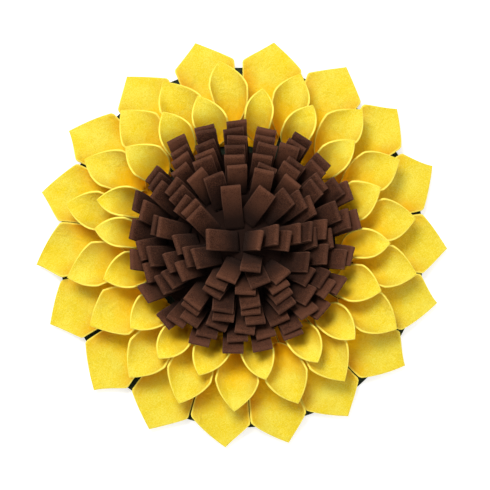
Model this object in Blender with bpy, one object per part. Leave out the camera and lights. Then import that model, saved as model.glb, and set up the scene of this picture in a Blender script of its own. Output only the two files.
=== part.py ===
"""A round felt snuffle mat made like a sunflower.

A dark green felt disc carries three rings of rolled yellow felt leaves and, in the
middle, a pile of brown felt loops. All sizes are metres unless a name says otherwise.
The origin is the middle of the disc's underside, +Z is up.
"""

from itertools import product
from math import cos, pi, radians, sin
from random import Random

import bmesh
import bpy
from mathutils import Vector

MM = 0.001
SEAT_GAP = 0.0003  # between two pieces that touch

# The backing disc
BACKING_RADIUS = 0.200
BACKING_FELT = 0.0025
BACKING_SIDES = 72

# The leaf that a petal is cut to: a pointed tip, two side corners, a narrow base
PETAL_FELT = 0.0020
LEAF_BASE_SHARE = 0.25  # width at the base, as a share of the widest
LEAF_SIDE_POWER = 2.2  # rounds the sides from the base to the side corners
LEAF_TIP_POWER = 1.08  # rounds the edges from the side corners to the tip

# How a leaf is rolled: its rims nearly meet at the base and open towards the corners
CLOSED_ROLL = radians(168)  # half the turn of the felt where it is pinched
MOST_OPEN_ROLL = 1.0  # the largest radius of a leaf's roll
FLATTEST = 0.985  # the widest a rolled leaf spans, as a share of its flat width
FLAT_BASE = 1.0005  # by how much a leaf that lies flat at its base is wider than it spans
FLAT_BASE_POWER = 5  # how late it begins to curl

# Rows of a petal from its base to its side corners, and how many strips lie across it
PETAL_ROWS = (0.0, 0.32, 0.67, 1.0)
PETAL_STRIPS = 6

# Each row is a petal, counter-clockwise from above: where its tip and its two side
# corners point, and how far the tip reaches
PETAL_COLUMNS = ("tip_deg", "reach_mm", "left_deg", "right_deg")
OUTER_PETALS = (
    (81, 230, 91.1, 69.65),
    (103, 232, 112.35, 91.4),
    (124.5, 227, 134.6, 112.65),
    (147, 229, 154.1, 134.9),
    (166, 227, 173.78, 154.4),
    (186.5, 225, 191.85, 174.22),
    (203.5, 226, 211.85, 192.15),
    (225.5, 226, 233.35, 212.15),
    (244, 225, 253.45, 233.65),
    (265.5, 222, 272.52, 254.05),
    (283, 222, 290.02, 272.98),
    (301, 220, 309.75, 290.48),
    (322.5, 221, 329.6, 310.65),
    (342.5, 222, 349.3, 330.4),
    (358, 224, 368.77, 349.7),
    (382, 227, 390.1, 369.23),
    (401, 229, 408.85, 390.4),
    (419.5, 230, 429.35, 409.15),
)
MIDDLE_PETALS = (
    (97, 198, 103, 87.5),
    (116, 193, 123, 106),
    (133, 193, 142.5, 123.5),
    (153, 191, 160, 143.5),
    (169, 192, 177.5, 162),
    (193, 191, 199.5, 182),
    (210.5, 186, 221, 201),
    (231.5, 190, 240, 222.5),
    (249.5, 188, 258, 240.5),
    (267.5, 184, 276.5, 259.5),
    (288.5, 186, 296, 279.5),
    (305, 187, 314.5, 297),
    (329, 190.5, 338, 321),
    (348, 191, 357, 340),
    (366.5, 188, 375.5, 358.5),
    (386.5, 191, 395, 378.5),
    (407, 193, 416, 399.5),
    (430.5, 194, 438, 423),
)
INNER_PETALS = (
    (82, 162, 89, 75.5),
    (107.5, 160, 113.5, 97),
    (122, 159, 131, 114),
    (142.5, 158, 150.5, 131.5),
    (166, 159, 170.6, 156),
    (177.5, 156, 185.4, 171),
    (198, 153, 205.5, 187.8),
    (220, 152, 229, 210.5),
    (236.5, 156, 245, 230),
    (253, 154, 264, 247),
    (279.5, 153, 285.5, 269),
    (300.5, 155, 308.5, 292.6),
    (317, 161, 325.5, 309.5),
    (338, 158, 346.5, 328),
    (357, 157, 363.5, 349),
    (379.5, 157, 387.5, 368),
    (400.5, 159, 409, 393),
    (421.5, 162, 430, 415),
)

# The flat leaf of each ring, where its side corners are along it, its slope at the base
# and the tip, how far its base lies above the backing, how far its side corners are from
# the middle, and the room each of them leaves. A pinched leaf has its rims together at
# the base, and opening says how fast they part; the others lie flat there.
RING_COLUMNS = (
    "length_mm",
    "width_mm",
    "widest",
    "base_slope_deg",
    "tip_slope_deg",
    "above_mm",
    "corner_mm",
    "room_mm",
    "drift_power",
    "pinched",
    "opening",
)
PETAL_RINGS = (
    ("outer", (122, 68.5, 0.77, 1, 4, 0, 200, 0.3, 8, False, 1), OUTER_PETALS),
    ("middle", (74, 60, 0.63, 32, 16, 3.31, 163, 1.2, 3, True, 3.2), MIDDLE_PETALS),
    ("inner", (64, 53, 0.63, 58, 34, 2.4, 132, 1.2, 3, True, 3.6), INNER_PETALS),
)

# The pile: a band of felt wound in turns, whose uncut lower part is the coil and whose
# upper part is slit into loops
LOOP_FELT = 0.0018
LOOP_WIDTH = 0.0215
LOOP_HALF_FOOT = 0.0020  # half the thickness of both legs at the root
LOOP_HALF_FOLD = 0.0030  # and at the fold
LOOP_LENGTH = 0.043  # from the coil to the top of the fold
LOOP_FOLD_STEPS = 3
COIL_RADIUS = 0.0970
COIL_HEIGHT = 0.0200
ROOT_DEPTH = 0.0010  # how far the loops' roots reach into the coil
COIL_SIDES = 64

# The loops in the middle, which show broad faces: where their folds are from above
MIDDLE_COLUMNS = ("fold_x_mm", "fold_y_mm", "facing_deg", "lean_deg", "length_mm")
MIDDLE_LOOPS = (
    (-37, -5, 183, 43, 46),
    (37, -1, 357, 27, 44),
    (19, -6, 348, 27, 36),
    (-12, 49, 97, 55, 50),
    (26, 46, 52, 48, 47),
    (50, 42, 36, 42, 45),
    (50, 17, 16, 40, 44),
    (-50, 23, 137, 42, 46),
    (-56, 31, 137, 42, 46),
    (62, 2, 0, 36, 43),
    (9, -36, 262, 28, 42),
    (-50, -26, 200, 38, 43),
    (-17, -48, 248, 38, 43),
    (70, -29, 350, 38, 43),
    (-30, 60, 112, 40, 46),
)

# The turns wound round them
TURN_COLUMNS = ("root_radius_mm", "loops", "first_deg", "lean_deg")
TURNS = (
    (15.5, 4, 235, 32),
    (23.3, 5, 215, 34),
    (31.1, 8, 112, 34),
    (38.9, 10, 95, 35),
    (46.7, 12, 95, 35),
    (54.5, 14, 98, 35.5),
    (62.3, 16, 98, 36),
    (70.1, 18, 94, 36.5),
    (77.9, 20, 94, 37),
    (85.7, 21, 94, 37.5),
    (92.6, 21, 92.5, 37),
)
LOOP_DRIFT = 0.0012  # how far a loop may stray sideways from its even place
LOOP_TWIST_DEG = 12
LOOP_LEAN_DEG = 3
LOOP_SWAY_DEG = 6
LOOP_LENGTH_SPREAD = 0.004
LOOP_CALMS = (1.0, 0.7, 0.4, 0.1)  # by how much a loop's straying is calmed, in turn
LOOP_PUSH = 0.0005  # the steps in which it is pushed outwards until it has room
LOOP_PUSHES = 12
LOOP_GAP = 0.00035
LOOP_REACH = 0.056  # loops whose middles are farther apart than this can't touch


def felt_material(name, colour, roughness):
    material = bpy.data.materials.new(name)
    material.use_nodes = True
    shader = material.node_tree.nodes["Principled BSDF"]
    shader.inputs["Base Color"].default_value = (*colour, 1)
    shader.inputs["Roughness"].default_value = roughness
    shader.inputs["Metallic"].default_value = 0
    return material


def add_object(name, mesh, material):
    mesh.materials.append(material)
    piece = bpy.data.objects.new(name, mesh)
    bpy.context.scene.collection.objects.link(piece)
    return piece


def mesh_from(points, faces, name):
    mesh = bpy.data.meshes.new(name)
    mesh.from_pydata(points, [], faces)
    mesh.validate()
    return mesh


def felt_disc(name, radius, bottom, thickness, sides):
    shape = bmesh.new()
    bmesh.ops.create_circle(shape, cap_ends=True, radius=radius, segments=sides)
    pushed = bmesh.ops.extrude_face_region(shape, geom=shape.faces[:])
    tops = [part for part in pushed["geom"] if isinstance(part, bmesh.types.BMVert)]
    bmesh.ops.translate(shape, verts=tops, vec=(0, 0, thickness))
    bmesh.ops.translate(shape, verts=shape.verts, vec=(0, 0, bottom))
    bmesh.ops.recalc_face_normals(shape, faces=shape.faces)
    mesh = bpy.data.meshes.new(name)
    shape.to_mesh(mesh)
    shape.free()
    return mesh


def width_share(along, widest):
    """The width of the flat leaf at a share of its length from the base, widest = 1."""
    if along < widest:
        grown = 1 - (1 - along / widest) ** LEAF_SIDE_POWER
        return LEAF_BASE_SHARE + (1 - LEAF_BASE_SHARE) * grown
    return 1 - ((along - widest) / (1 - widest)) ** LEAF_TIP_POWER


def radius_for_chord(half_chord, half_width):
    """The radius at which a strip of felt, rolled round, spans this chord."""
    low, high = half_width / pi, MOST_OPEN_ROLL
    for _ in range(60):
        radius = (low + high) / 2
        if radius * sin(half_width / radius) < half_chord:
            low = radius
        else:
            high = radius
    return radius


def petal_shape(petal, ring):
    """A function that gives the middle of the felt and its normal for a place on the leaf.

    It takes the share of the length from the base, and the share across it from -1 at the
    right rim to 1 at the left rim.
    """
    base_slope = radians(ring["base_slope_deg"])
    tip_slope = radians(ring["tip_slope_deg"])
    bending = tip_slope - base_slope
    length = ring["length_mm"] * MM
    half_width = ring["width_mm"] / 2 * MM
    corner = ring["corner_mm"] * MM
    reach = petal["reach_mm"] * MM
    spread = radians(petal["left_deg"] - petal["right_deg"])
    room = ring["room_mm"] * MM
    half_chord = min(corner * sin(spread / 2) - room, FLATTEST * half_width)

    # The tip drifts sideways until tip and corners point where the table says
    middle = radians(petal["left_deg"] + petal["right_deg"]) / 2
    widest = ring["widest"]
    share = widest ** ring["drift_power"]
    drift = (radians(petal["tip_deg"]) - middle) / (1 / reach - share / corner)
    heading = middle - share * drift / corner
    run = length * (sin(tip_slope) - sin(base_slope)) / bending
    base_radius = (reach**2 - drift**2) ** 0.5 - run
    corner_slope = base_slope + bending * widest
    corner_radius = base_radius + length * (sin(corner_slope) - sin(base_slope)) / bending
    base_height = BACKING_FELT + SEAT_GAP + ring["above_mm"] * MM + PETAL_FELT / 2
    outward = Vector((cos(heading), sin(heading), 0))
    sideways = Vector((-sin(heading), cos(heading), 0))
    upward = Vector((0, 0, 1))

    def place(along, across):
        slope = base_slope + bending * along
        radius = base_radius + length * (sin(slope) - sin(base_slope)) / bending
        height = base_height + length * (cos(base_slope) - cos(slope)) / bending
        lifted = cos(slope) * upward - sin(slope) * outward
        grown = min(along / widest, 1)
        chord = half_chord * min(radius / corner_radius, 1)
        if ring["pinched"]:
            flat = half_width * width_share(min(along, widest), widest)
            chord = min(chord * (1 - (1 - grown) ** ring["opening"]), FLATTEST * flat)
        else:
            curl = half_width / half_chord - FLAT_BASE
            flat = chord * (FLAT_BASE + curl * grown**FLAT_BASE_POWER)
        roll = max(radius_for_chord(chord, flat), flat / CLOSED_ROLL)
        narrowed = width_share(max(along, widest), widest)
        turn = across * flat * narrowed / roll
        drifted = drift * along ** ring["drift_power"]
        spine = radius * outward + height * upward + drifted * sideways
        point = spine + roll * sin(turn) * sideways + roll * (1 - cos(turn)) * lifted
        normal = cos(turn) * lifted - sin(turn) * sideways
        return point, normal

    return place


def petal_mesh(place, widest, name):
    """The felt on both sides of the middle surface, closed round the edge."""
    alongs = [row * widest for row in PETAL_ROWS] + [(1 + widest) / 2]
    points = []
    for side in (0.5, -0.5):
        for along in alongs:
            for strip in range(PETAL_STRIPS + 1):
                point, normal = place(along, 2 * strip / PETAL_STRIPS - 1)
                points.append(point + side * PETAL_FELT * normal)
        point, normal = place(1, 0)
        points.append(point + side * PETAL_FELT * normal)

    row = PETAL_STRIPS + 1
    tip = len(alongs) * row
    under = tip + 1
    last = tip - row
    faces = []
    for start in range(0, last, row):
        for strip in range(start, start + PETAL_STRIPS):
            faces.append((strip, strip + row, strip + row + 1, strip + 1))
    for strip in range(last, last + PETAL_STRIPS):
        faces.append((strip, tip, strip + 1))
    faces += [tuple(under + corner for corner in reversed(face)) for face in faces]
    rim = list(range(0, tip, row)) + [tip] + list(range(tip - 1, 0, -row))
    rim += list(range(PETAL_STRIPS - 1, 0, -1))
    for here, after in zip(rim, rim[1:] + rim[:1]):
        faces.append((here, under + here, under + after, after))
    return mesh_from(points, faces, name)


def make_petals(ring_name, ring, petals, material):
    for number, row in enumerate(petals, 1):
        place = petal_shape(dict(zip(PETAL_COLUMNS, row)), ring)
        name = f"{ring_name}_petal_{number:02d}"
        mesh = petal_mesh(place, ring["widest"], name)
        add_object(name, mesh, material).data.shade_smooth()
        mesh.set_sharp_from_angle(angle=radians(50))


class Loop:
    """A loop's root on the disc, the way it leans, and how long it is."""

    def __init__(self, x, y, facing, lean, sway, length):
        self.root = Vector((x, y, BACKING_FELT + SEAT_GAP + COIL_HEIGHT))
        self.length = length
        outward = Vector((cos(facing), sin(facing), 0))
        sideways = Vector((-sin(facing), cos(facing), 0))
        upright = sin(lean) * outward + cos(lean) * Vector((0, 0, 1))
        self.rise = cos(sway) * upright + sin(sway) * sideways
        self.ridge = cos(sway) * sideways - sin(sway) * upright
        self.across = self.ridge.cross(self.rise)
        self.middle = self.root + self.rise * length / 2
        slant = (1 - self.rise.z**2) ** 0.5
        sunk = (ROOT_DEPTH + LOOP_HALF_FOOT * slant) / self.rise.z
        self.corners = [
            self.root + side * LOOP_WIDTH / 2 * self.ridge + along * self.rise + out * self.across
            for side in (-1, 1)
            for along, half in ((-sunk, LOOP_HALF_FOOT), (length, LOOP_HALF_FOLD))
            for out in (-half, half)
        ]
        taper = (LOOP_HALF_FOLD - LOOP_HALF_FOOT) / (length + sunk)
        front = self.across - taper * self.rise
        back = self.across + taper * self.rise
        self.axes = (front.normalized(), back.normalized(), self.ridge, self.rise)

    def clears(self, other):
        """Whether some direction parts the blocks that the two loops fill."""
        if (other.middle - self.middle).length > LOOP_REACH:
            return True
        crossed = [one.cross(two) for one in self.axes for two in other.axes]
        for axis in (*self.axes, *other.axes, *crossed):
            if axis.length < 0.01:
                continue
            axis = axis.normalized()
            mine = [corner.dot(axis) for corner in self.corners]
            theirs = [corner.dot(axis) for corner in other.corners]
            if max(min(mine) - max(theirs), min(theirs) - max(mine)) > LOOP_GAP:
                return True
        return False


def middle_loop(row, push):
    """A loop of the middle, from where its fold is."""
    values = dict(zip(MIDDLE_COLUMNS, row))
    facing = radians(values["facing_deg"])
    lean = radians(values["lean_deg"])
    length = values["length_mm"] * MM
    back = length * sin(lean) - push
    x = values["fold_x_mm"] * MM - back * cos(facing)
    y = values["fold_y_mm"] * MM - back * sin(facing)
    return Loop(x, y, facing, lean, 0, length)


def turn_loop(turn, number, calm, push, draws):
    """A loop of one turn, strayed by its draws from its even place."""
    drift, twist, lean, sway, length = (calm * draw for draw in draws)
    facing = radians(turn["first_deg"] + 360 * number / turn["loops"])
    radius = turn["root_radius_mm"] * MM
    facing += drift * LOOP_DRIFT / radius
    return Loop(
        (radius + push) * cos(facing),
        (radius + push) * sin(facing),
        facing + radians(twist * LOOP_TWIST_DEG),
        radians(turn["lean_deg"] + lean * LOOP_LEAN_DEG),
        radians(sway * LOOP_SWAY_DEG),
        LOOP_LENGTH + length * LOOP_LENGTH_SPREAD,
    )


def settle(loops, choices):
    """Adds the first of these loops that clears those already there."""
    for loop in choices:
        if all(loop.clears(other) for other in loops):
            loops.append(loop)
            return


def wind_loops():
    """The loops from the middle outwards, each pushed out until it has room."""
    pushes = [step * LOOP_PUSH for step in range(LOOP_PUSHES)]
    loops = []
    for row in MIDDLE_LOOPS:
        settle(loops, (middle_loop(row, push) for push in pushes))
    chance = Random(55)
    for row in TURNS:
        turn = dict(zip(TURN_COLUMNS, row))
        for number in range(turn["loops"]):
            draws = [chance.uniform(-1, 1) for _ in range(5)]
            tries = product(LOOP_CALMS, pushes)
            settle(loops, (turn_loop(turn, number, calm, push, draws) for calm, push in tries))
    return loops


def loop_outline(loop, inset, shift, foot):
    """Up one leg, over the fold and down the other, at this distance from the middle."""
    edge = loop.root + shift * loop.ridge
    crest = loop.length - LOOP_HALF_FOLD
    taper = (LOOP_HALF_FOLD - LOOP_HALF_FOOT) / loop.length
    half_fold = LOOP_HALF_FOOT + taper * crest - inset
    half_foot = LOOP_HALF_FOOT - inset
    outline = []
    for step in range(LOOP_FOLD_STEPS + 1):
        angle = pi * step / LOOP_FOLD_STEPS
        along = crest + half_fold * sin(angle)
        outline.append(edge + loop.rise * along + loop.across * half_fold * cos(angle))
    ends = []
    for side in (1, -1):
        leg = edge + side * half_foot * loop.across
        ends.append(leg + loop.rise * (foot - leg.z) / loop.rise.z)
    return [ends[0], *outline, ends[1]]


def loops_mesh(loops, foot):
    points = []
    faces = []
    for loop in loops:
        start = len(points)
        for shift in (LOOP_WIDTH / 2, -LOOP_WIDTH / 2):
            for inset in (0, LOOP_FELT):
                points += loop_outline(loop, inset, shift, foot)
        size = (len(points) - start) // 4
        near_out, near_in, far_out, far_in = (start + size * part for part in range(4))
        for step in range(size - 1):
            here, after = step, step + 1
            faces.append((near_out + here, near_out + after, far_out + after, far_out + here))
            faces.append((near_in + after, near_in + here, far_in + here, far_in + after))
            faces.append((near_out + after, near_out + here, near_in + here, near_in + after))
            faces.append((far_out + here, far_out + after, far_in + after, far_in + here))
        for end, turned in ((0, 1), (size - 1, -1)):
            foot_face = (near_out + end, far_out + end, far_in + end, near_in + end)
            faces.append(foot_face[::turned])
    return mesh_from(points, faces, "loops")


def make_loop_pile(material):
    """The band: its uncut lower part, wound to a coil, and the loops, all one solid."""
    bottom = BACKING_FELT + SEAT_GAP
    coil = felt_disc("loop_pile", COIL_RADIUS, bottom, COIL_HEIGHT, COIL_SIDES)
    pile = add_object("loop_pile", coil, material)
    loops = loops_mesh(wind_loops(), bottom + COIL_HEIGHT - ROOT_DEPTH)
    standing = add_object("standing_loops", loops, material)
    standing.hide_render = True
    standing.display_type = "WIRE"
    union = pile.modifiers.new("loops", "BOOLEAN")
    union.operation = "UNION"
    union.object = standing


for old in list(bpy.data.objects):
    bpy.data.objects.remove(old)

backing_felt = felt_material("backing_felt", (0.012, 0.022, 0.012), 0.95)
petal_felt = felt_material("petal_felt", (0.93, 0.66, 0.03), 0.9)
loop_felt = felt_material("loop_felt", (0.075, 0.030, 0.021), 0.95)

backing = felt_disc("backing", BACKING_RADIUS, 0, BACKING_FELT, BACKING_SIDES)
add_object("backing", backing, backing_felt)
for ring_name, values, petals in PETAL_RINGS:
    make_petals(ring_name, dict(zip(RING_COLUMNS, values)), petals, petal_felt)
make_loop_pile(loop_felt)
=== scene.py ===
"""How the round felt snuffle mat looks.

The mat's solids are loaded as a fixed frame, and each felt piece is made again with its
real roundness, its cut edges and its grain. The file follows the mat as it is sewn: the
backing disc, three rings of rolled petals from the outside in, the pile of loops, and
then the studio round it. All sizes are metres unless a name says otherwise.
"""

from itertools import product
from math import cos, pi, radians, sin
from random import Random

import bpy
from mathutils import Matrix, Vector, noise


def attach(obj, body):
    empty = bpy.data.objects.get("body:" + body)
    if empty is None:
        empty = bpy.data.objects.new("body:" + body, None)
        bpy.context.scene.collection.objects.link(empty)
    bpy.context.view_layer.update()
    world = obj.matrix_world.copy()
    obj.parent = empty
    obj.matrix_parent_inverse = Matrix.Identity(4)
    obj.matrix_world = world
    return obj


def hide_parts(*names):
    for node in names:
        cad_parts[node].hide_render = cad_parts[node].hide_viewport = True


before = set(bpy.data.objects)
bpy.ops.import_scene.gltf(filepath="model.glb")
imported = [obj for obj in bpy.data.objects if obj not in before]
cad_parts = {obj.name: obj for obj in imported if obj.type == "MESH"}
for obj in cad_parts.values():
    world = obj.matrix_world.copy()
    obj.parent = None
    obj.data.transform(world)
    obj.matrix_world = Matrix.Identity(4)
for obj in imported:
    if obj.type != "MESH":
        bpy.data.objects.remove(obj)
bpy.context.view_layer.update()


# ------------------------------------------------------------------ the backing disc
# A round disc of dark green, nearly black felt, cut by hand. It lies flat on the floor,
# and every petal and the pile are sewn to it, so that only small notches of it show.

MM = 0.001
SEAT_GAP = 0.0003  # between two pieces that touch
BACKING_RADIUS = 0.200
BACKING_FELT = 0.0025
BACKING_SIDES = 180
BACKING_RAGGEDNESS = 0.0006  # how far its hand-cut rim strays
RAGS_PER_RADIAN = 9
CUT_EDGE = 0.0004  # the rounding of a cut edge of felt
RIM_BAND = 0.02  # how far in from its rim a disc has another ring of points

BACKING_GREEN = (0.010, 0.017, 0.010)
BACKING_FIBRE = (0.030, 0.042, 0.028)
BACKING_FUZZ_TINT = (0.3, 0.4, 0.3)

# All the felt: spots of each kind to the metre, and their shares in its relief and colour
FIBRES_PER_METRE = 480
FLUFF_PER_METRE = 900
PATCHES_PER_METRE = 38
WRINKLES_PER_METRE = 80
FIBRES_IN_RELIEF = 0.7
FLUFF_IN_RELIEF = 0.3
FIBRES_IN_COLOUR = 0.4
FLUFF_IN_COLOUR = 0.4
PATCHES_IN_COLOUR = 0.2
DEEP_TO_PALE = (0.44, 0.56)  # the sums at which the felt has its deep and its pale colour
RELIEF_DEPTH = 0.0015
RELIEF_STRENGTH = 0.9
FELT_ROUGHNESS = 0.95
FELT_GLOSS = 0.08
FUZZ_ROUGHNESS = 0.5
COLOUR, OTHER_COLOUR, MIXED_COLOUR = 6, 7, 2  # a Mix node's sockets for colours


class Shade:
    """A value in a felt's nodes. Sums with it add Math nodes."""

    def __init__(self, felt, socket):
        self.felt = felt
        self.socket = socket

    def maths(self, operation, first, second):
        """A Math node on two values, either of which may be a plain number."""
        return self.felt.node("Math", {"operation": operation}, {0: first, 1: second})

    def __add__(self, other):
        return self.maths("ADD", self, other)

    def __sub__(self, other):
        return self.maths("SUBTRACT", self, other)

    def __rsub__(self, other):
        return self.maths("SUBTRACT", other, self)

    def __mul__(self, other):
        return self.maths("MULTIPLY", self, other)

    __radd__ = __add__
    __rmul__ = __mul__


class Felt:
    """A pressed felt's material and its nodes: matted fibres and faint wrinkles."""

    def __init__(self, name, fuzz, fuzz_tint, wrinkles):
        self.material = bpy.data.materials.new(name)
        self.material.use_nodes = True
        self.tree = self.material.node_tree
        self.places = self.node("TexCoord", {}, {}, "Object")
        self.fibres = self.grain(FIBRES_PER_METRE, detail=5, roughness=0.75, distortion=2.5)
        self.fluff = self.grain(FLUFF_PER_METRE, detail=3, roughness=0.7)
        self.patches = self.grain(PATCHES_PER_METRE, detail=4, roughness=0.6)
        creases = self.grain(WRINKLES_PER_METRE, detail=3, roughness=0.55, distortion=1.5)
        matted = self.fibres * FIBRES_IN_RELIEF + self.fluff * FLUFF_IN_RELIEF
        relief = {"Strength": RELIEF_STRENGTH, "Distance": RELIEF_DEPTH}
        relief["Height"] = matted + wrinkles * creases
        self.finish("Normal", self.node("Bump", {}, relief))
        self.finish("Roughness", FELT_ROUGHNESS)
        self.finish("Specular IOR Level", FELT_GLOSS)
        self.finish("Sheen Weight", fuzz)
        self.finish("Sheen Roughness", FUZZ_ROUGHNESS)
        self.finish("Sheen Tint", (*fuzz_tint, 1))

    def finish(self, name, value):
        """Sets or feeds one of the finishes of the felt's own shader."""
        self.feed(self.tree.nodes["Principled BSDF"].inputs[name], value)

    def node(self, kind, settings, sockets, output=0):
        """A node of this kind, with its settings set first and its sockets then fed."""
        made = self.tree.nodes.new("ShaderNode" + kind)
        for name, value in settings.items():
            setattr(made, name, value)
        for name, value in sockets.items():
            self.feed(made.inputs[name], value)
        return Shade(self, made.outputs[output])

    def feed(self, socket, value):
        """Links a value that changes over the felt, or sets one that doesn't."""
        if isinstance(value, Shade):
            self.tree.links.new(value.socket, socket)
        else:
            socket.default_value = value

    def grain(self, scale, detail, roughness, distortion=0.0):
        """Noise over the felt, with this many spots to the metre."""
        sockets = {
            "Vector": self.places,
            "Scale": scale,
            "Detail": detail,
            "Roughness": roughness,
            "Distortion": distortion,
        }
        return self.node("TexNoise", {}, sockets)

    def mark(self, name):
        """The number that the points of the felt's pieces carry under this name."""
        return self.node("Attribute", {"attribute_name": name}, {}, "Fac")

    def spread(self, value, low, high):
        """The value stretched so that low becomes 0 and high 1, and held between them."""
        return self.node("MapRange", {}, {"Value": value, "From Min": low, "From Max": high})

    def mixed(self, share, colour, other):
        """A colour between two, each of which is three numbers or a mix itself."""
        sockets = {0: share}
        for socket, value in ((COLOUR, colour), (OTHER_COLOUR, other)):
            sockets[socket] = value if isinstance(value, Shade) else (*value, 1)
        return self.node("Mix", {"data_type": "RGBA"}, sockets, MIXED_COLOUR)

    def mottled(self, deep, pale, paler=0):
        """The felt's colour, uneven from fibre to fibre and from patch to patch."""
        matted = self.fibres * FIBRES_IN_COLOUR + self.fluff * FLUFF_IN_COLOUR
        share = matted + self.patches * PATCHES_IN_COLOUR + paler
        return self.mixed(self.spread(share, *DEEP_TO_PALE), deep, pale)


def placed(thing):
    """Puts a new object into the scene."""
    bpy.context.scene.collection.objects.link(thing)
    return thing


def felt_piece(name, points, faces, material, slot, node):
    """A smooth-shaded piece of felt that stands for the solid of this node."""
    mesh = bpy.data.meshes.new(name)
    mesh.from_pydata(points, [], faces)
    mesh.validate()
    mesh.materials.append(material)
    mesh.shade_smooth()
    piece = placed(bpy.data.objects.new(name, mesh))
    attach(piece, "root")
    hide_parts(node)
    return piece


def marked(piece, name, numbers):
    """Gives each point of the piece a number from 0 to 1, which its felt's colour follows."""
    mark = piece.data.attributes.new(name, "FLOAT", "POINT")
    mark.data.foreach_set("value", numbers)


def disc_shape(radius, bottom, thickness, sides, raggedness):
    """A disc with rounded cut edges: rings of points from the middle of its underside."""
    points = [Vector((0, 0, bottom))]
    rings = (
        (radius - RIM_BAND, 0),
        (radius - CUT_EDGE, 0),
        (radius, CUT_EDGE),
        (radius, thickness - CUT_EDGE),
        (radius - CUT_EDGE, thickness),
        (radius - RIM_BAND, thickness),
    )
    for ring_radius, height in rings:
        for side in range(sides):
            angle = 2 * pi * side / sides
            way = Vector((cos(angle), sin(angle), 0))
            strayed = ring_radius + raggedness * noise.noise(way * RAGS_PER_RADIAN)
            points.append(way * strayed + Vector((0, 0, bottom + height)))
    points.append(Vector((0, 0, bottom + thickness)))
    faces = []
    top = len(points) - 1
    for side in range(sides):
        after = (side + 1) % sides
        faces.append((0, 1 + after, 1 + side))
        for ring in range(len(rings) - 1):
            low, high = 1 + ring * sides, 1 + (ring + 1) * sides
            faces.append((low + side, low + after, high + after, high + side))
        last = 1 + (len(rings) - 1) * sides
        faces.append((last + side, last + after, top))
    return points, faces


backing_felt = Felt("backing_felt", fuzz=0.05, fuzz_tint=BACKING_FUZZ_TINT, wrinkles=0.3)
backing_felt.finish("Base Color", backing_felt.mottled(BACKING_GREEN, BACKING_FIBRE))
backing = felt_piece(
    "backing_disc",
    *disc_shape(BACKING_RADIUS, 0, BACKING_FELT, BACKING_SIDES, BACKING_RAGGEDNESS),
    backing_felt.material,
    "dark_green_felt",
    "backing",
)


# ------------------------------------------------------------------ the outer petals
# Leaves cut from lemon yellow felt and sewn down along their bases, which reach in under
# the other rings. This ring lies nearly flat, curls up at its side corners, and reaches
# past the backing.

PETAL_FELT = 0.0020
LEAF_BASE_SHARE = 0.25  # width at the base, as a share of the widest
LEAF_SIDE_POWER = 2.2  # rounds the sides from the base to the side corners
LEAF_TIP_POWER = 1.08  # rounds the edges from the side corners to the tip
CLOSED_ROLL = radians(168)  # half the turn of the felt where it is pinched
MOST_OPEN_ROLL = 1.0  # the largest radius of a leaf's roll
ROLL_HALVINGS = 60  # how often the search for a roll's radius halves its range
FLATTEST = 0.985  # the widest a rolled leaf spans, as a share of its flat width
FLAT_BASE = 1.0005  # by how much a leaf that lies flat at its base is wider than it spans
FLAT_BASE_POWER = 5  # how late it begins to curl

PETAL_ROWS = 44
PETAL_STRIPS = 24
EDGE_SHARE = 0.45  # what is left of the felt's thickness at a rounded cut edge
EDGE_AT_TIP = 0.3  # the most of a leaf's half width that the rounding takes
AREA_STEPS = 200

# The felt's own unevenness: gentle waves that all neighbours share
WAVE_LENGTH = 0.042
WAVE_HEIGHT = 0.0014
WAVE_GROWS_OVER = 0.012  # the height over which the waves reach their full size
WAVE_SEED = 7
noise.seed_set(WAVE_SEED)

LEMON_YELLOW = (0.79, 0.675, 0.088)
DEEP_YELLOW = (0.725, 0.525, 0.008)
# Painted shade: gold deep in the folds and orange along the seams. Painted highlight: the pale
# rims.
GOLD_SHADE_IN_FOLDS = (0.95, 0.54, 0.003)
ORANGE_SHADE_IN_SEAMS = (0.68, 0.25, 0.003)
PALE_RIM_HIGHLIGHT = (0.95, 0.78, 0.11)
PETAL_FUZZ_TINT = (1.0, 0.8, 0.06)

# Shares of a leaf's half width, or of its length, over which its painted seam shade and its
# painted rim highlight change
SEAM_SHADE_ACROSS = (0.35, 1)
SEAM_SHADE_FADES_ALONG = (0.6, 0.84)
RIM_HIGHLIGHT_ACROSS = (0.94, 1)
FOLDS_STRAY = 0.03  # how unevenly the painted shade deepens into the folds

# A leaf: where its tip points and how far out it is, and where its side corners point
PETAL_COLUMNS = ("tip_deg", "reach_mm", "left_deg", "right_deg")

# A ring: its leaves' flat size, where along them they are widest, how steeply they rise at
# base and tip, how high their bases lie, the radius of their side corners, the room left
# beside them, how late the tips drift sideways, whether they are pinched, and how soon
# they open
RING_COLUMNS = (
    "length_mm",
    "width_mm",
    "widest",
    "base_slope_deg",
    "tip_slope_deg",
    "above_mm",
    "corner_mm",
    "room_mm",
    "drift_power",
    "pinched",
    "opening",
)

OUTER_RING = (122, 68.5, 0.77, 1, 4, 0, 200, 0.3, 8, False, 1)
OUTER_PETALS = (
    (81, 230, 91.1, 69.65),
    (103, 232, 112.35, 91.4),
    (124.5, 227, 134.6, 112.65),
    (147, 229, 154.1, 134.9),
    (166, 227, 173.78, 154.4),
    (186.5, 225, 191.85, 174.22),
    (203.5, 226, 211.85, 192.15),
    (225.5, 226, 233.35, 212.15),
    (244, 225, 253.45, 233.65),
    (265.5, 222, 272.52, 254.05),
    (283, 222, 290.02, 272.98),
    (301, 220, 309.75, 290.48),
    (322.5, 221, 329.6, 310.65),
    (342.5, 222, 349.3, 330.4),
    (358, 224, 368.77, 349.7),
    (382, 227, 390.1, 369.23),
    (401, 229, 408.85, 390.4),
    (419.5, 230, 429.35, 409.15),
)


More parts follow.
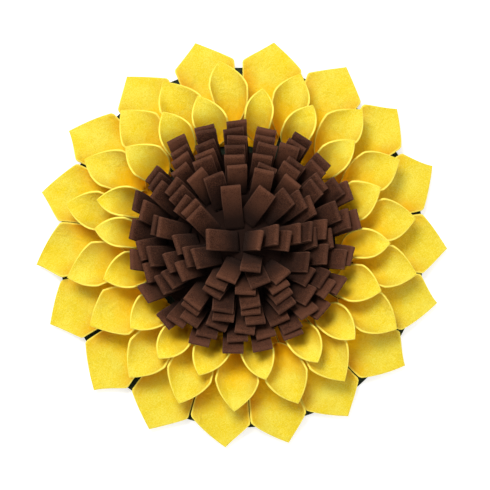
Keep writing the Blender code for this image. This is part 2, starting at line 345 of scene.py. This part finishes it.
def width_share(along, widest):
    """The width of the flat leaf at a share of its length from the base, widest = 1."""
    if along < widest:
        grown = 1 - (1 - along / widest) ** LEAF_SIDE_POWER
        return LEAF_BASE_SHARE + (1 - LEAF_BASE_SHARE) * grown
    return 1 - ((along - widest) / (1 - widest)) ** LEAF_TIP_POWER


def radius_for_chord(half_chord, half_width):
    """The radius at which a strip of felt, rolled round, spans this chord."""
    low, high = half_width / pi, MOST_OPEN_ROLL
    for _ in range(ROLL_HALVINGS):
        radius = (low + high) / 2
        if radius * sin(half_width / radius) < half_chord:
            low = radius
        else:
            high = radius
    return radius


def petal_shape(petal, ring):
    """A function that gives the middle of the felt and its normal for a place on the leaf.

    It takes the share of the length from the base, and the share across it from -1 at the
    right rim to 1 at the left rim.
    """
    base_slope = radians(ring["base_slope_deg"])
    tip_slope = radians(ring["tip_slope_deg"])
    bending = tip_slope - base_slope
    length = ring["length_mm"] * MM
    half_width = ring["width_mm"] / 2 * MM
    corner = ring["corner_mm"] * MM
    reach = petal["reach_mm"] * MM
    spread = radians(petal["left_deg"] - petal["right_deg"])
    room = ring["room_mm"] * MM
    half_chord = min(corner * sin(spread / 2) - room, FLATTEST * half_width)

    # The tip drifts sideways until tip and corners point where the table says
    middle = radians(petal["left_deg"] + petal["right_deg"]) / 2
    widest = ring["widest"]
    share = widest ** ring["drift_power"]
    drift = (radians(petal["tip_deg"]) - middle) / (1 / reach - share / corner)
    heading = middle - share * drift / corner

    def run(slope):
        """How far out from its base the leaf has come where it has this slope."""
        return length * (sin(slope) - sin(base_slope)) / bending

    base_radius = (reach**2 - drift**2) ** 0.5 - run(tip_slope)
    corner_radius = base_radius + run(base_slope + bending * widest)
    base_height = BACKING_FELT + SEAT_GAP + ring["above_mm"] * MM + PETAL_FELT / 2
    outward = Vector((cos(heading), sin(heading), 0))
    sideways = Vector((-sin(heading), cos(heading), 0))
    upward = Vector((0, 0, 1))

    def place(along, across):
        """The middle of the felt and its normal there."""
        slope = base_slope + bending * along
        radius = base_radius + run(slope)
        height = base_height + length * (cos(base_slope) - cos(slope)) / bending
        lifted = cos(slope) * upward - sin(slope) * outward
        grown = min(along / widest, 1)
        chord = half_chord * min(radius / corner_radius, 1)
        if ring["pinched"]:
            flat = half_width * width_share(min(along, widest), widest)
            chord = min(chord * (1 - (1 - grown) ** ring["opening"]), FLATTEST * flat)
        else:
            curl = half_width / half_chord - FLAT_BASE
            flat = chord * (FLAT_BASE + curl * grown**FLAT_BASE_POWER)
        roll = max(radius_for_chord(chord, flat), flat / CLOSED_ROLL)
        narrowed = width_share(max(along, widest), widest)
        turn = across * flat * narrowed / roll
        drifted = drift * along ** ring["drift_power"]
        spine = radius * outward + height * upward + drifted * sideways
        point = spine + roll * sin(turn) * sideways + roll * (1 - cos(turn)) * lifted
        normal = cos(turn) * lifted - sin(turn) * sideways
        return point, normal

    return place


def waved(point):
    """A point of the felt, moved by the waves that grow with its height."""
    grown = min(1, max(0, point.z - BACKING_FELT - PETAL_FELT) / WAVE_GROWS_OVER)
    return point + WAVE_HEIGHT * grown * noise.noise_vector(point / WAVE_LENGTH)


def leaf_faces(rows, strips):
    """The faces of a sheet with two sides: a grid of rows on each, and a tip point."""
    row = strips + 1
    tip = rows * row
    under = tip + 1
    last = tip - row
    faces = []
    for start in range(0, last, row):
        for strip in range(start, start + strips):
            faces.append((strip, strip + row, strip + row + 1, strip + 1))
    for strip in range(last, last + strips):
        faces.append((strip, tip, strip + 1))
    faces += [tuple(under + corner for corner in reversed(face)) for face in faces]
    rim = list(range(0, tip, row)) + [tip] + list(range(tip - 1, 0, -row))
    rim += list(range(strips - 1, 0, -1))
    for here, after in zip(rim, rim[1:] + rim[:1]):
        faces.append((here, under + here, under + after, after))
    return faces


def strips_across(half_width):
    """Places across a leaf from rim to rim, with one close to each rim for its rounding."""
    edge = min(CUT_EDGE / half_width, EDGE_AT_TIP)
    inner = [(1 - edge) * (2 * n / (PETAL_STRIPS - 2) - 1) for n in range(PETAL_STRIPS - 1)]
    return [-1, *inner, 1]


def leaf_places(ring):
    """The shares along and across a leaf at which it has points, from its base to its tip."""
    half_width = ring["width_mm"] / 2 * MM
    length = ring["length_mm"] * MM
    alongs = [sin(pi / 2 * n / PETAL_ROWS) for n in range(PETAL_ROWS)]
    alongs[1:1] = [CUT_EDGE / length]
    rows = [(along, half_width * width_share(along, ring["widest"])) for along in alongs]
    places = [(along, across) for along, half in rows for across in strips_across(half)]
    return places + [(1, 0)]


def leaf_points(place, places):
    """Both sides of a leaf, thinner along its cut edge."""
    points = []
    for side in (0.5, -0.5):
        for along, across in places:
            point, normal = place(along, across)
            cut = EDGE_SHARE if abs(across) == 1 or along in (0, 1) else 1
            points.append(waved(point + side * cut * PETAL_FELT * normal))
    return points


def leaf_area(ring):
    """The area of the flat leaf."""
    middles = [(step + 0.5) / AREA_STEPS for step in range(AREA_STEPS)]
    filled = sum(width_share(along, ring["widest"]) for along in middles) / AREA_STEPS
    return ring["length_mm"] * ring["width_mm"] * MM**2 * filled


def petal_felt(name, fold_shade_mm, shade_ends_mm, seam_shade_share, wrinkles, painted_light=1.0):
    """Yellow felt, with painted shade that is golden deep in the folds of its ring and orange
    along its seams, and painted highlights on its pale rims.

    Up to the first radius from the mat's middle it has the painted shade of the folds, and from
    the second it lies open. Its painted light scales its yellows.
    """
    felt = Felt(f"{name}_petal_felt", fuzz=0.1, fuzz_tint=PETAL_FUZZ_TINT, wrinkles=wrinkles)
    # Painted light: the yellows are scaled lighter for a ring that should catch more light
    deep = [painted_light * part for part in DEEP_YELLOW]
    pale = [painted_light * part for part in LEMON_YELLOW]
    yellow = felt.mottled(deep, pale)

    # Painted shade in the folds: gold up to one radius from the mat's middle, and the felt's own
    # yellow from the next
    flattened = {0: felt.places, 1: (1, 1, 0)}
    flat_place = felt.node("VectorMath", {"operation": "MULTIPLY"}, flattened)
    radius = felt.node("VectorMath", {"operation": "LENGTH"}, {0: flat_place}, "Value")
    strayed = radius + (felt.patches - 0.5) * FOLDS_STRAY
    out_of_fold_shade = felt.spread(strayed, fold_shade_mm * MM, shade_ends_mm * MM)
    fold_shaded = felt.mixed(out_of_fold_shade, GOLD_SHADE_IN_FOLDS, yellow)

    # Painted shade along the seams between neighbouring leaves, fading out along the leaf
    across = felt.mark("across")
    fading = felt.spread(felt.mark("along"), *SEAM_SHADE_FADES_ALONG)
    seam_shade_mask = felt.spread(across, *SEAM_SHADE_ACROSS) * (1 - fading)
    seam_shaded = felt.mixed(seam_shade_mask * seam_shade_share, fold_shaded, ORANGE_SHADE_IN_SEAMS)
    # Painted highlight along the cut rims
    rim = felt.spread(across, *RIM_HIGHLIGHT_ACROSS)
    felt.finish("Base Color", felt.mixed(rim, seam_shaded, PALE_RIM_HIGHLIGHT))
    return felt.material


def sew_petals(name, ring_values, petals, material):
    """Makes the leaves of one ring, a row of its table for each."""
    ring = dict(zip(RING_COLUMNS, ring_values))
    places = leaf_places(ring)
    faces = leaf_faces(PETAL_ROWS + 1, PETAL_STRIPS)
    for number, row in enumerate(petals, 1):
        place = petal_shape(dict(zip(PETAL_COLUMNS, row)), ring)
        node = f"{name}_petal_{number:02d}"
        points = leaf_points(place, places)
        petal = felt_piece(f"{node}_leaf", points, faces, material, "yellow_felt", node)
        marked(petal, "along", [along for along, _ in places] * 2)
        marked(petal, "across", [abs(across) for _, across in places] * 2)
        leaf_area(ring)


outer_felt = petal_felt("outer", fold_shade_mm=155, shade_ends_mm=190, seam_shade_share=0.9, wrinkles=1.4)
sew_petals("outer", OUTER_RING, OUTER_PETALS, outer_felt)


# ----------------------------------------------------------------- the middle petals
# The same leaf of yellow felt, cut a little smaller. It is pinched where it is sewn down,
# rolled more and raised, so that it lies over the gaps of the outer ring.

MIDDLE_RING = (74, 60, 0.63, 32, 16, 3.31, 163, 1.2, 3, True, 3.2)
MIDDLE_PETALS = (
    (97, 198, 103, 87.5),
    (116, 193, 123, 106),
    (133, 193, 142.5, 123.5),
    (153, 191, 160, 143.5),
    (169, 192, 177.5, 162),
    (193, 191, 199.5, 182),
    (210.5, 186, 221, 201),
    (231.5, 190, 240, 222.5),
    (249.5, 188, 258, 240.5),
    (267.5, 184, 276.5, 259.5),
    (288.5, 186, 296, 279.5),
    (305, 187, 314.5, 297),
    (329, 190.5, 338, 321),
    (348, 191, 357, 340),
    (366.5, 188, 375.5, 358.5),
    (386.5, 191, 395, 378.5),
    (407, 193, 416, 399.5),
    (430.5, 194, 438, 423),
)

middle_felt = petal_felt("middle", fold_shade_mm=128, shade_ends_mm=162, seam_shade_share=0.4, wrinkles=1.2)
sew_petals("middle", MIDDLE_RING, MIDDLE_PETALS, middle_felt)


# ------------------------------------------------------------------ the inner petals
# The smallest leaves of the yellow felt, also sewn down at a pinched base. They are rolled
# most and raised most, so that their cups stand open round the pile of loops.

INNER_RING = (64, 53, 0.63, 58, 34, 2.4, 132, 1.2, 3, True, 3.6)
INNER_PETALS = (
    (82, 162, 89, 75.5),
    (107.5, 160, 113.5, 97),
    (122, 159, 131, 114),
    (142.5, 158, 150.5, 131.5),
    (166, 159, 170.6, 156),
    (177.5, 156, 185.4, 171),
    (198, 153, 205.5, 187.8),
    (220, 152, 229, 210.5),
    (236.5, 156, 245, 230),
    (253, 154, 264, 247),
    (279.5, 153, 285.5, 269),
    (300.5, 155, 308.5, 292.6),
    (317, 161, 325.5, 309.5),
    (338, 158, 346.5, 328),
    (357, 157, 363.5, 349),
    (379.5, 157, 387.5, 368),
    (400.5, 159, 409, 393),
    (421.5, 162, 430, 415),
)

# Its yellows are painted lighter, as painted light on the cups round the pile
inner_felt = petal_felt(
    "inner", fold_shade_mm=112, shade_ends_mm=145, seam_shade_share=0.4, wrinkles=1.0, painted_light=1.14
)
sew_petals("inner", INNER_RING, INNER_PETALS, inner_felt)


# -------------------------------------------------------------------- the loop pile
# A long band of chocolate brown felt, folded along its middle and slit across the fold
# into loops. Its uncut lower part is wound to a coil, which is sewn to the backing.

LOOP_FELT = 0.0018
LOOP_WIDTH = 0.0215
LOOP_HALF_FOOT = 0.0020  # half the thickness of both legs at the root
LOOP_HALF_FOLD = 0.0030  # and at the fold
LOOP_LENGTH = 0.043  # from the coil to the top of the fold
LOOP_FOLD_STEPS = 10
LOOP_LEG_STEPS = 8
LOOP_STRIPS = 6
COIL_RADIUS = 0.0970
COIL_HEIGHT = 0.0200
ROOT_DEPTH = 0.0010  # how far the loops' roots reach into the coil
COIL_SIDES = 96

# The loops in the middle, which show broad faces: where their folds are from above
MIDDLE_COLUMNS = ("fold_x_mm", "fold_y_mm", "facing_deg", "lean_deg", "length_mm")
MIDDLE_LOOPS = (
    (-37, -5, 183, 43, 46),
    (37, -1, 357, 27, 44),
    (19, -6, 348, 27, 36),
    (-12, 49, 97, 55, 50),
    (26, 46, 52, 48, 47),
    (50, 42, 36, 42, 45),
    (50, 17, 16, 40, 44),
    (-50, 23, 137, 42, 46),
    (-56, 31, 137, 42, 46),
    (62, 2, 0, 36, 43),
    (9, -36, 262, 28, 42),
    (-50, -26, 200, 38, 43),
    (-17, -48, 248, 38, 43),
    (70, -29, 350, 38, 43),
    (-30, 60, 112, 40, 46),
)

# The turns wound round them
TURN_COLUMNS = ("root_radius_mm", "loops", "first_deg", "lean_deg")
TURNS = (
    (15.5, 4, 235, 32),
    (23.3, 5, 215, 34),
    (31.1, 8, 112, 34),
    (38.9, 10, 95, 35),
    (46.7, 12, 95, 35),
    (54.5, 14, 98, 35.5),
    (62.3, 16, 98, 36),
    (70.1, 18, 94, 36.5),
    (77.9, 20, 94, 37),
    (85.7, 21, 94, 37.5),
    (92.6, 21, 92.5, 37),
)

# How far a loop may stray from its even place
LOOP_DRIFT = 0.0012
LOOP_TWIST_DEG = 12
LOOP_LEAN_DEG = 3
LOOP_SWAY_DEG = 6
LOOP_LENGTH_SPREAD = 0.004
LOOP_STRAYINGS = 5  # the draws for each: drift, twist, lean, sway and length
LOOP_SEED = 55
LOOP_CALMS = (1.0, 0.7, 0.4, 0.1)  # by how much its straying is calmed, in turn

# How two loops are kept apart
LOOP_PUSH = 0.0005  # the steps in which a loop is pushed outwards until it has room
LOOP_PUSHES = 12
LOOP_GAP = 0.00035
LOOP_REACH = 0.056  # loops whose middles are farther apart than this can't touch
PARALLEL = 0.01  # edges count as parallel where their cross product is shorter

CHOCOLATE_BROWN = (0.021, 0.0070, 0.0037)
BROWN_FIBRE = (0.098, 0.0355, 0.0180)
# Painted shade, nearly black, deep in the pile, and painted highlights on the loops' cut edges
# and folds
BROWN_SHADE_IN_PILE = (0.014, 0.006, 0.004)
HIGHLIGHT_BROWN = (0.15, 0.066, 0.040)
LOOP_FUZZ_TINT = (0.7, 0.4, 0.3)
LOOP_TONES = 0.11  # how much the felt's colour varies from loop to loop
DYE_SEED = 155
HIGHLIGHT_ACROSS = (0.86, 1)  # the share of a loop's half width that has the painted edge highlight
EDGE_HIGHLIGHT = 0.5  # how strong the painted highlights on its cut edges and its fold are
FOLD_HIGHLIGHT = 0.2
DARK_TO_LIT = (0.030, 0.054)  # the heights between which the pile's shade lifts


class Loop:
    """A loop's root on the disc, the way it leans, and how long it is."""

    def __init__(self, x, y, facing, lean, sway, length):
        self.root = Vector((x, y, BACKING_FELT + SEAT_GAP + COIL_HEIGHT))
        self.length = length
        outward = Vector((cos(facing), sin(facing), 0))
        sideways = Vector((-sin(facing), cos(facing), 0))
        upright = sin(lean) * outward + cos(lean) * Vector((0, 0, 1))
        self.rise = cos(sway) * upright + sin(sway) * sideways
        self.ridge = cos(sway) * sideways - sin(sway) * upright
        self.across = self.ridge.cross(self.rise)
        self.middle = self.root + self.rise * length / 2
        slant = (1 - self.rise.z**2) ** 0.5
        sunk = (ROOT_DEPTH + LOOP_HALF_FOOT * slant) / self.rise.z
        self.corners = [
            self.root + side * LOOP_WIDTH / 2 * self.ridge + along * self.rise + out * self.across
            for side in (-1, 1)
            for along, half in ((-sunk, LOOP_HALF_FOOT), (length, LOOP_HALF_FOLD))
            for out in (-half, half)
        ]
        taper = (LOOP_HALF_FOLD - LOOP_HALF_FOOT) / (length + sunk)
        front = self.across - taper * self.rise
        back = self.across + taper * self.rise
        self.axes = (front.normalized(), back.normalized(), self.ridge, self.rise)

    def clears(self, other):
        """Whether some direction parts the blocks that the two loops fill."""
        if (other.middle - self.middle).length > LOOP_REACH:
            return True
        crossed = [one.cross(two) for one in self.axes for two in other.axes]
        for axis in (*self.axes, *other.axes, *crossed):
            if axis.length < PARALLEL:
                continue
            axis = axis.normalized()
            mine = [corner.dot(axis) for corner in self.corners]
            theirs = [corner.dot(axis) for corner in other.corners]
            if max(min(mine) - max(theirs), min(theirs) - max(mine)) > LOOP_GAP:
                return True
        return False


def middle_loop(row, push):
    """A loop of the middle, from where its fold is."""
    values = dict(zip(MIDDLE_COLUMNS, row))
    facing = radians(values["facing_deg"])
    lean = radians(values["lean_deg"])
    length = values["length_mm"] * MM
    back = length * sin(lean) - push
    x = values["fold_x_mm"] * MM - back * cos(facing)
    y = values["fold_y_mm"] * MM - back * sin(facing)
    return Loop(x, y, facing, lean, 0, length)


def turn_loop(turn, number, calm, push, draws):
    """A loop of one turn, strayed by its draws from its even place."""
    drift, twist, lean, sway, length = (calm * draw for draw in draws)
    facing = radians(turn["first_deg"] + 360 * number / turn["loops"])
    radius = turn["root_radius_mm"] * MM
    facing += drift * LOOP_DRIFT / radius
    return Loop(
        (radius + push) * cos(facing),
        (radius + push) * sin(facing),
        facing + radians(twist * LOOP_TWIST_DEG),
        radians(turn["lean_deg"] + lean * LOOP_LEAN_DEG),
        radians(sway * LOOP_SWAY_DEG),
        LOOP_LENGTH + length * LOOP_LENGTH_SPREAD,
    )


def settle(loops, choices):
    """Adds the first of these loops that clears those already there."""
    for loop in choices:
        if all(loop.clears(other) for other in loops):
            loops.append(loop)
            return


def wind_loops():
    """The loops from the middle outwards, each pushed out until it has room."""
    pushes = [step * LOOP_PUSH for step in range(LOOP_PUSHES)]
    loops = []
    for row in MIDDLE_LOOPS:
        settle(loops, (middle_loop(row, push) for push in pushes))
    chance = Random(LOOP_SEED)
    for row in TURNS:
        turn = dict(zip(TURN_COLUMNS, row))
        for number in range(turn["loops"]):
            draws = [chance.uniform(-1, 1) for _ in range(LOOP_STRAYINGS)]
            tries = product(LOOP_CALMS, pushes)
            settle(loops, (turn_loop(turn, number, calm, push, draws) for calm, push in tries))
    return loops


def band_line(loop, inset, shift, foot):
    """Up one leg, over the fold and down the other, at this distance from the middle."""
    edge = loop.root + shift * loop.ridge
    crest = loop.length - LOOP_HALF_FOLD
    taper = (LOOP_HALF_FOLD - LOOP_HALF_FOOT) / loop.length
    half_fold = LOOP_HALF_FOOT + taper * crest - inset
    line = []
    for step in range(LOOP_FOLD_STEPS + 1):
        angle = pi * step / LOOP_FOLD_STEPS
        along = crest + half_fold * sin(angle)
        line.append(edge + loop.rise * along + loop.across * half_fold * cos(angle))
    legs = []
    for side, top in ((1, line[0]), (-1, line[-1])):
        leg = edge + side * (LOOP_HALF_FOOT - inset) * loop.across
        bottom = leg + loop.rise * (foot - leg.z) / loop.rise.z
        legs.append([bottom.lerp(top, step / LOOP_LEG_STEPS) for step in range(LOOP_LEG_STEPS)])
    return legs[0] + line + legs[1][::-1]


def loop_band(loop, foot, tone, points, faces, marks):
    """Adds one loop: lines along the band, round its cross-section and back.

    Each point's mark has how near it is to a cut edge and to the fold, and the loop's tone.
    """
    half = LOOP_WIDTH / 2
    inner = half - CUT_EDGE
    shifts = [inner * (2 * n / (LOOP_STRIPS - 2) - 1) for n in range(LOOP_STRIPS - 1)]
    edge_inset = (1 - EDGE_SHARE) * LOOP_FELT / 2
    section = [(half, edge_inset)]
    section += [(shift, 0) for shift in reversed(shifts)]
    section += [(-half, edge_inset), (-half, LOOP_FELT - edge_inset)]
    section += [(shift, LOOP_FELT) for shift in shifts]
    section += [(half, LOOP_FELT - edge_inset)]
    start = len(points)
    lines = [band_line(loop, inset, shift, foot) for shift, inset in section]
    points += [waved(point) for line in lines for point in line]
    fold = [sin(pi * step / LOOP_FOLD_STEPS) for step in range(LOOP_FOLD_STEPS + 1)]
    leg = [0] * LOOP_LEG_STEPS
    line_marks = leg + fold + leg
    marks += [(abs(shift) / half, near, tone) for shift, _ in section for near in line_marks]
    size = len(lines[0])
    for number in range(len(lines)):
        here = start + number * size
        after = start + (number + 1) % len(lines) * size
        for step in range(size - 1):
            faces.append((here + step, here + step + 1, after + step + 1, after + step))
    for end, turned in ((0, 1), (size - 1, -1)):
        foot_face = [start + number * size + end for number in range(len(lines))]
        faces.append(tuple(foot_face[::turned]))


def pile_felt():
    """Brown felt, with painted highlights along its cut edges and folds and painted shade, nearly
    black, deep in the pile.
    """
    felt = Felt("loop_felt", fuzz=0.05, fuzz_tint=LOOP_FUZZ_TINT, wrinkles=0.5)
    tones = (felt.mark("tone") - 0.5) * LOOP_TONES
    brown = felt.mottled(CHOCOLATE_BROWN, BROWN_FIBRE, paler=tones)
    # Painted highlights along the loops' cut edges and over their folds
    edge_highlight_share = felt.spread(felt.mark("across"), *HIGHLIGHT_ACROSS) * EDGE_HIGHLIGHT
    highlight_share = edge_highlight_share + felt.mark("fold") * FOLD_HIGHLIGHT
    highlighted_brown = felt.mixed(highlight_share, brown, HIGHLIGHT_BROWN)
    # Painted shade: darker towards the coil, lit higher up
    height = felt.node("SeparateXYZ", {}, {0: felt.places}, "Z")
    lit = felt.spread(height, *DARK_TO_LIT)
    felt.finish("Base Color", felt.mixed(lit, BROWN_SHADE_IN_PILE, highlighted_brown))
    return felt.material


coil_bottom = BACKING_FELT + SEAT_GAP
foot_height = coil_bottom + COIL_HEIGHT - ROOT_DEPTH
pile_points, pile_faces = disc_shape(COIL_RADIUS, coil_bottom, COIL_HEIGHT, COIL_SIDES, 0)
pile_marks = [(0, 0, 0)] * len(pile_points)
wound_loops = wind_loops()
dyeing = Random(DYE_SEED)
for wound in wound_loops:
    tone = dyeing.random()
    loop_band(wound, foot_height, tone, pile_points, pile_faces, pile_marks)
pile = felt_piece(
    "loop_pile_band", pile_points, pile_faces, pile_felt(), "brown_felt", "loop_pile"
)
for name, numbers in zip(("across", "fold", "tone"), zip(*pile_marks)):
    marked(pile, name, numbers)


# ----------------------------------------------------------------------- the studio
# A plain white floor under large soft lights, seen from almost straight above, as in a
# catalogue photograph.

FLOOR_SIZE = 20.0
FLOOR_GREY = (0.6, 0.6, 0.6, 1)
FLOOR_ROUGHNESS = 0.9
FLOOR_GLOW = 0.55  # lifts the paper to white under these lights
WHITE = (1, 1, 1, 1)
SKY_LIGHT = 0.66
CAMERA_DISTANCE = 1.3
CAMERA_ELEVATION = radians(80.7)
SENSOR = 36.0
LENS = 86.84
VIEW_SHIFT = (0.0064, -0.0036)

floor_mesh = bpy.data.meshes.new("floor")
corners = ((-1, -1), (1, -1), (1, 1), (-1, 1))
floor_points = [(x * FLOOR_SIZE / 2, y * FLOOR_SIZE / 2, -SEAT_GAP) for x, y in corners]
floor_mesh.from_pydata(floor_points, [], [(0, 1, 2, 3)])
floor = placed(bpy.data.objects.new("floor", floor_mesh))
floor_paper = bpy.data.materials.new("floor_paper")
floor_paper.use_nodes = True
floor_shader = floor_paper.node_tree.nodes["Principled BSDF"]
floor_shader.inputs["Base Color"].default_value = FLOOR_GREY
floor_shader.inputs["Roughness"].default_value = FLOOR_ROUGHNESS
floor_shader.inputs["Emission Color"].default_value = WHITE
floor_shader.inputs["Emission Strength"].default_value = FLOOR_GLOW
floor_mesh.materials.append(floor_paper)

world = bpy.data.worlds.new("studio")
world.use_nodes = True
sky = world.node_tree.nodes["Background"]
sky.inputs["Color"].default_value = WHITE
sky.inputs["Strength"].default_value = SKY_LIGHT
bpy.context.scene.world = world

LIGHT_COLUMNS = ("name", "place", "size", "watts")
LIGHTS = (
    ("key", (-0.36, 0.5, 1.35), 0.55, 19.5),
    ("fill", (1.0, -0.8, 1.2), 1.2, 5.7),
)
for row in LIGHTS:
    light = dict(zip(LIGHT_COLUMNS, row))
    lamp = bpy.data.lights.new(light["name"], "AREA")
    lamp.size = light["size"]
    lamp.energy = light["watts"]
    shone = placed(bpy.data.objects.new(light["name"], lamp))
    shone.location = light["place"]
    shone.rotation_euler = (-Vector(light["place"])).to_track_quat("-Z", "Y").to_euler()

camera_data = bpy.data.cameras.new("camera")
camera_data.sensor_width = SENSOR
camera_data.lens = LENS
camera_data.shift_x, camera_data.shift_y = VIEW_SHIFT
camera = placed(bpy.data.objects.new("camera", camera_data))
camera.location = (
    0,
    -CAMERA_DISTANCE * cos(CAMERA_ELEVATION),
    CAMERA_DISTANCE * sin(CAMERA_ELEVATION),
)
camera.rotation_euler = (pi / 2 - CAMERA_ELEVATION, 0, 0)
bpy.context.scene.camera = camera
bpy.context.scene.view_settings.view_transform = "Standard"
